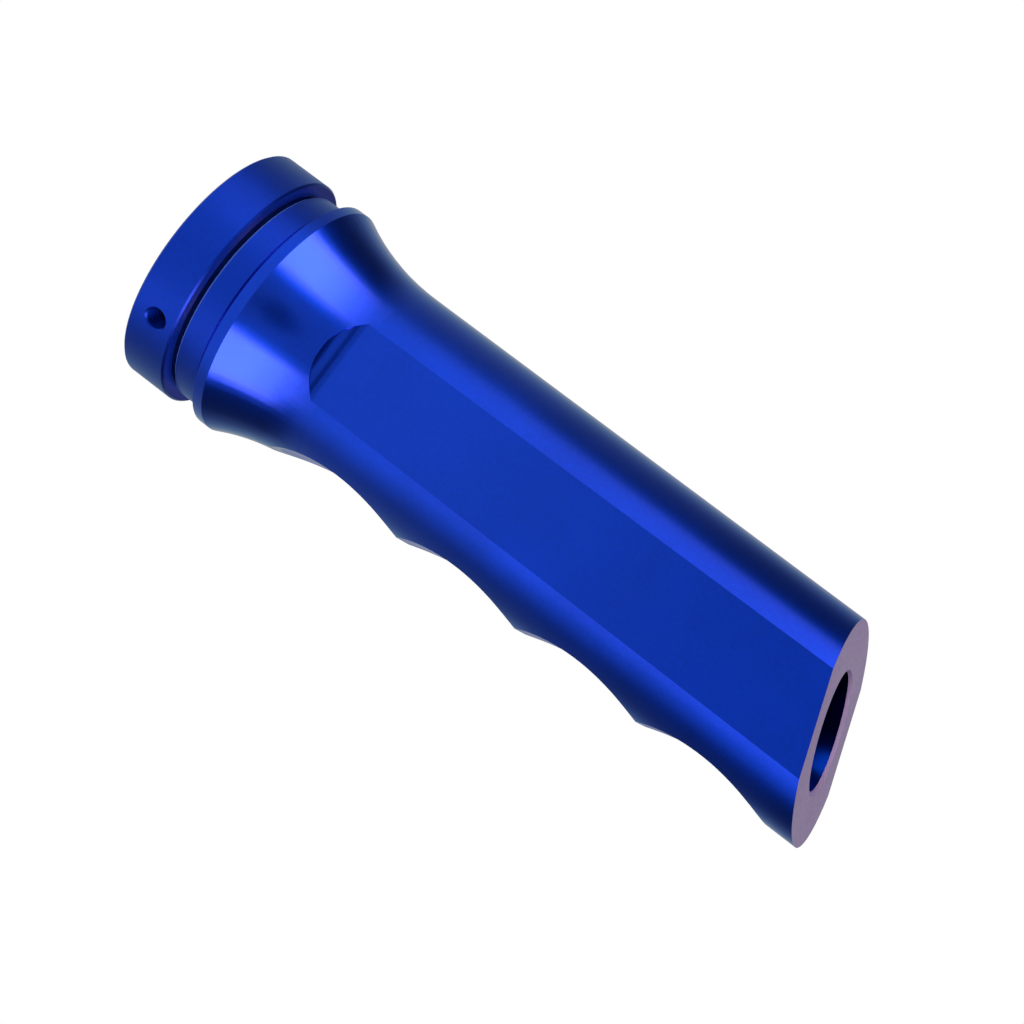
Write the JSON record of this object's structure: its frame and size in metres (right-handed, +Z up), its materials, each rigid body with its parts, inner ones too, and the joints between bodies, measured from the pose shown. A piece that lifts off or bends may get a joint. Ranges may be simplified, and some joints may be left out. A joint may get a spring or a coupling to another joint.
{
  "type": "throttle grip",
  "caption": "Twist throttle grip in blue anodised aluminium: clamp collar, flared turning sleeve with finger grooves, side flats, slanted end and internal helical cable puller.",
  "frame": {"origin": "centre of the handlebar bore at the clamp collar's inboard face", "axes": "+X along the bar outwards, +Z up on the palm side, the finger grooves face -Z and the flats face -Y and +Y"},
  "size_m": [0.1282, 0.041, 0.041],
  "materials": {
    "blue_anodised": "bright deep-blue anodising over fine turning marks",
    "satin_blue_anodised": "satin deep-blue anodising",
    "steel": "turned steel",
    "spring_steel": "oiled spring wire",
    "black_steel": "black oxide",
    "brass": "turned",
    "black_rubber": "matt moulded",
    "acetal": "turned natural acetal",
    "aluminium": "plain turned"
  },
  "bodies": {
    "root": {"clamp_collar": "satin_blue_anodised", "bar_socket": "steel", "stop_pin": "steel", "guide_tube": "steel", "cable_ferrule": "brass", "dust_seal": "black_rubber", "thrust_washer": "brass", "retaining_screw": "steel", "retaining_washer": "steel", "return_spring": "spring_steel"},
    "grip": {"grip_sleeve": "blue_anodised", "neck_ring": "satin_blue_anodised", "neck_bush": "acetal", "stop_ring": "steel", "spiral_sleeve": "aluminium", "drive_dowel": "steel", "end_bush": "acetal"},
    "slider": {"cable_slider": "brass", "cross_pin": "steel", "follower_rollers": "brass", "spring_seat": "steel"},
    "screw_front": {"set_screw_front": "black_steel"},
    "screw_rear": {"set_screw_rear": "black_steel"}
  },
  "joints": [
    {"name": "throttle_twist", "type": "hinge", "parent": "root", "child": "grip", "pos_m": [0, 0, 0], "axis": [1, 0, 0], "range_deg": [0, 75]},
    {"name": "slider_travel", "type": "slide", "parent": "root", "child": "slider", "axis": [1, 0, 0], "range_m": [0, 0.024], "stiffness_N_per_m": 500, "springref_m": -0.02, "deforming": ["return_spring"]},
    {"name": "front_screw_travel", "type": "slide", "parent": "root", "child": "screw_front", "axis": [0, -0.8241, -0.5664], "range_m": [-0.0005, 0.0025]},
    {"name": "rear_screw_travel", "type": "slide", "parent": "root", "child": "screw_rear", "axis": [0, 0.8241, -0.5664], "range_m": [-0.0005, 0.0025]}
  ],
  "couplings": [
    {"joint": "slider_travel", "follows": "throttle_twist", "m_per_rad": 0.018334}
  ]
}
